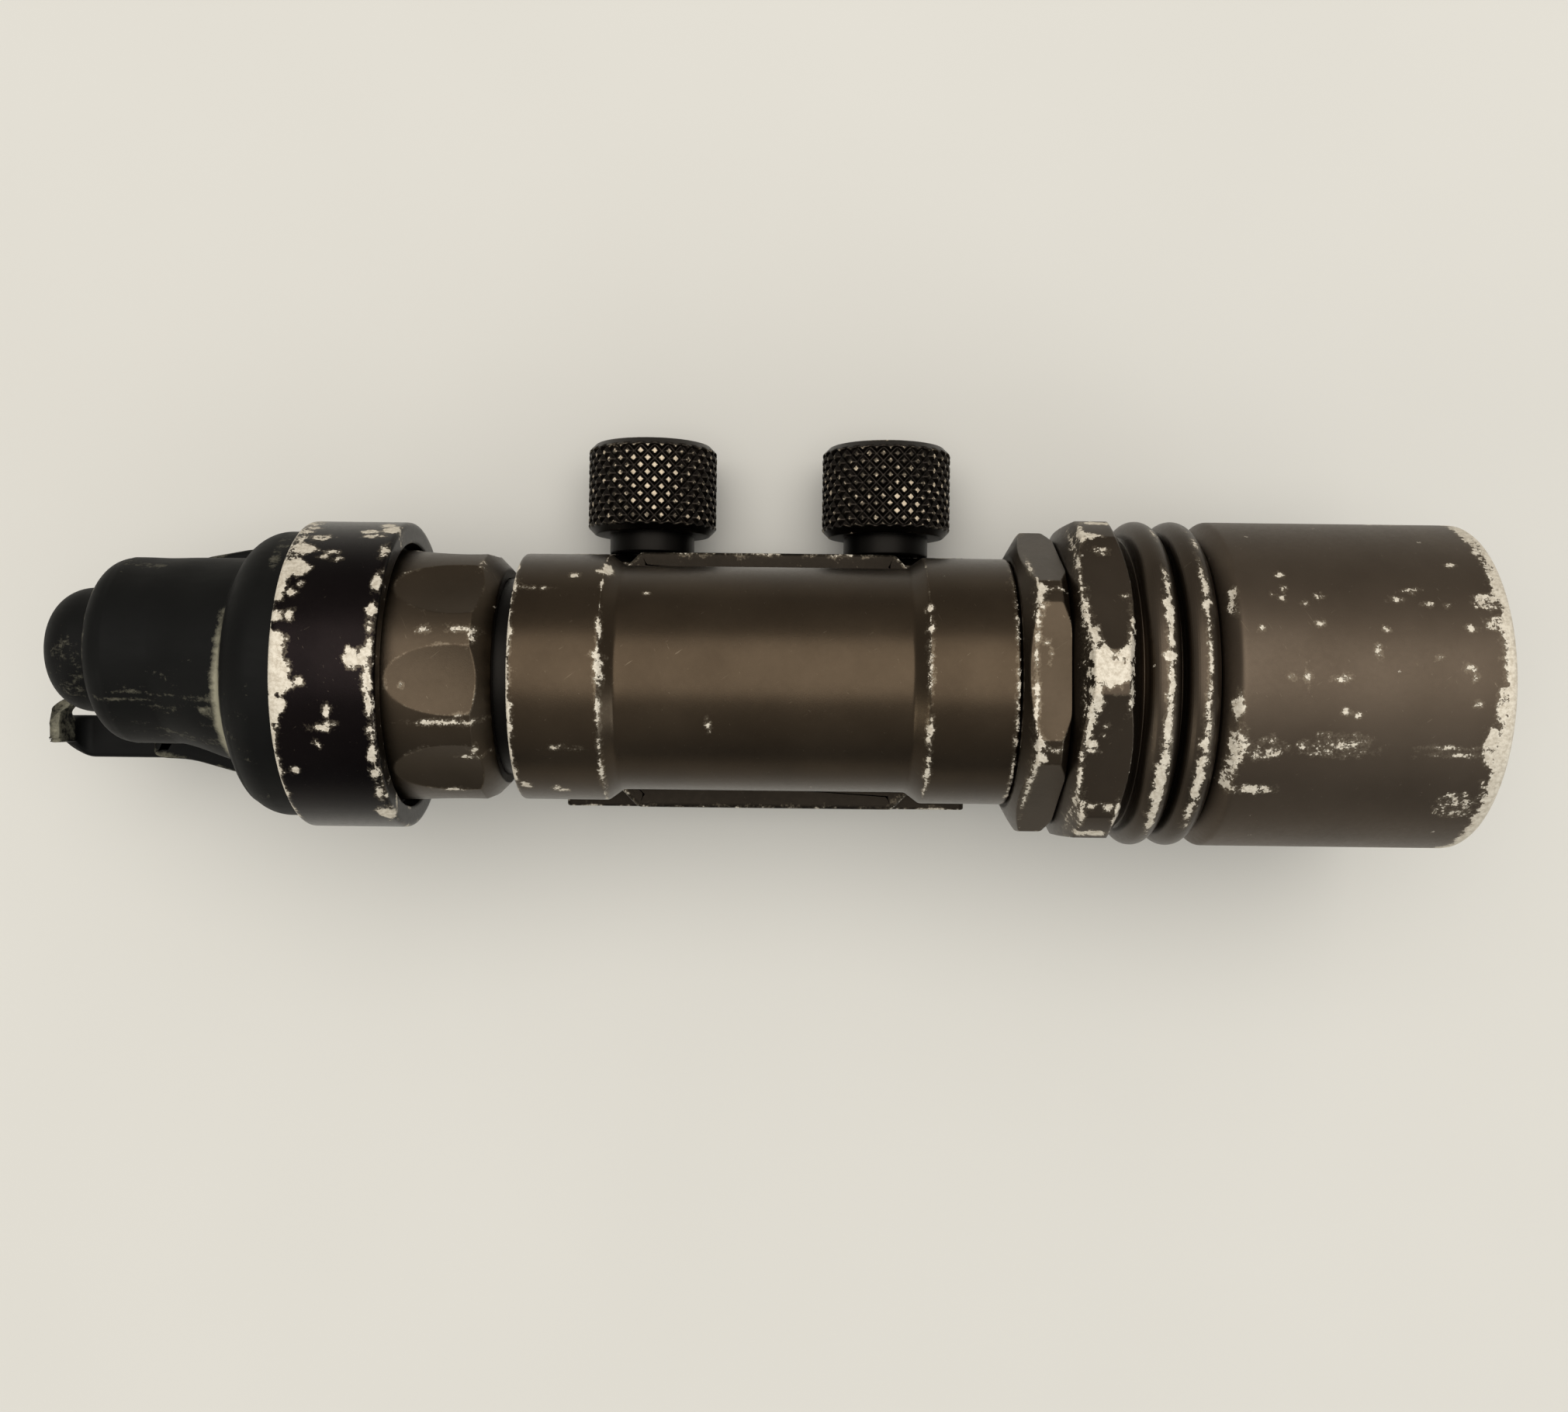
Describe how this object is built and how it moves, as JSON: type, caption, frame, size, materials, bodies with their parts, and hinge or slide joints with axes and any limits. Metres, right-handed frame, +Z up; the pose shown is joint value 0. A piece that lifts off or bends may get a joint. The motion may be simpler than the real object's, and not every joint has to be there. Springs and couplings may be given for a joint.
{
  "type": "tactical flashlight",
  "caption": "Rail-mounted tactical light with a finned bezel head, knurled thumbscrew clamp, turning tail ring and rubber-booted pushbutton.",
  "frame": {"origin": "middle of the rail seat, midway between the two thumbscrews", "axes": "+X along the beam out of the bezel, +Z up away from the rail, +Y out along the thumbscrews"},
  "size_m": [0.165, 0.0488, 0.0467],
  "materials": {
    "anodised_body": "matte hard anodise, worn to bare metal at the edges",
    "anodised_ring": "satin black anodise with a purple tint",
    "black_steel": "black oxide, bright on worn tips",
    "steel": "plain",
    "rubber_black": "matte, scuffed",
    "seal_rubber": "matte",
    "window_glass": "clear, coated",
    "reflector_metal": "bright",
    "led": "yellow phosphor",
    "board": "green laminate",
    "pill": "turned",
    "cell_sleeve": "shrink sleeve",
    "switch_plastic": "moulded",
    "spring_metal": "gold flashed"
  },
  "bodies": {
    "body": {"body_tube": "anodised_body", "rear_collar": "anodised_body", "front_collar": "anodised_body", "head_o_ring": "seal_rubber", "battery_rear": "cell_sleeve", "battery_front": "cell_sleeve", "clamp_base": "anodised_body", "base_screws": "steel", "clamp_studs": "steel"},
    "jaw": {"moving_jaw": "anodised_body", "jaw_springs": "spring_metal"},
    "front_screw": {"thumbscrew_front": "black_steel"},
    "rear_screw": {"thumbscrew_rear": "black_steel"},
    "head_carriage": {"head_contact_spring": "spring_metal"},
    "head": {"head_body": "anodised_body", "bezel_tube": "anodised_body", "retaining_ring": "anodised_body", "window": "window_glass", "front_gasket": "seal_rubber", "rear_gasket": "seal_rubber", "reflector": "reflector_metal", "led_emitter": "led", "led_board": "board", "heat_sink": "pill", "driver_board": "board"},
    "tail": {"switch_housing": "switch_plastic", "switch_board": "board", "switch_module": "switch_plastic", "tail_contact_spring": "spring_metal", "tail_o_ring": "seal_rubber", "tail_boot": "rubber_black", "tether_strap": "rubber_black"},
    "tail_ring": {"tail_ring": "anodised_ring"},
    "button": {"button_dome": "rubber_black", "switch_plunger": "switch_plastic"}
  },
  "joints": [
    {"name": "front_screw_turn", "type": "hinge", "parent": "jaw", "child": "front_screw", "pos_m": [0.01501, 0.0243, -0.0003], "axis": [0, 1, 0], "range_deg": [0, 1350]},
    {"name": "rear_screw_turn", "type": "hinge", "parent": "jaw", "child": "rear_screw", "pos_m": [-0.01501, 0.0243, -0.0003], "axis": [0, 1, 0], "range_deg": [0, 1350]},
    {"name": "jaw_slide", "type": "slide", "parent": "body", "child": "jaw", "axis": [0, 1, 0], "range_m": [0, 0.003]},
    {"name": "head_turn", "type": "hinge", "parent": "head_carriage", "child": "head", "pos_m": [0.0555, 0, 0.0186], "axis": [1, 0, 0], "range_deg": [0, 1890]},
    {"name": "head_slide", "type": "slide", "parent": "body", "child": "head_carriage", "axis": [1, 0, 0], "range_m": [0, 0.00525]},
    {"name": "tail_ring_turn", "type": "hinge", "parent": "tail", "child": "tail_ring", "pos_m": [-0.0463, 0, 0.0186], "axis": [-1, 0, 0], "range_deg": [0, 1530]},
    {"name": "tail_slide", "type": "slide", "parent": "body", "child": "tail", "axis": [-1, 0, 0], "range_m": [0, 0.00425]},
    {"name": "button_press", "type": "slide", "parent": "tail", "child": "button", "axis": [1, 0, 0], "range_m": [0, 0.0015], "stiffness_N_per_m": 1500}
  ],
  "couplings": [
    {"joint": "front_screw_turn", "follows": "jaw_slide", "rad_per_m": 7854},
    {"joint": "rear_screw_turn", "follows": "jaw_slide", "rad_per_m": 7854},
    {"joint": "head_turn", "follows": "head_slide", "rad_per_m": 6283.2},
    {"joint": "tail_ring_turn", "follows": "tail_slide", "rad_per_m": 6283.2}
  ]
}
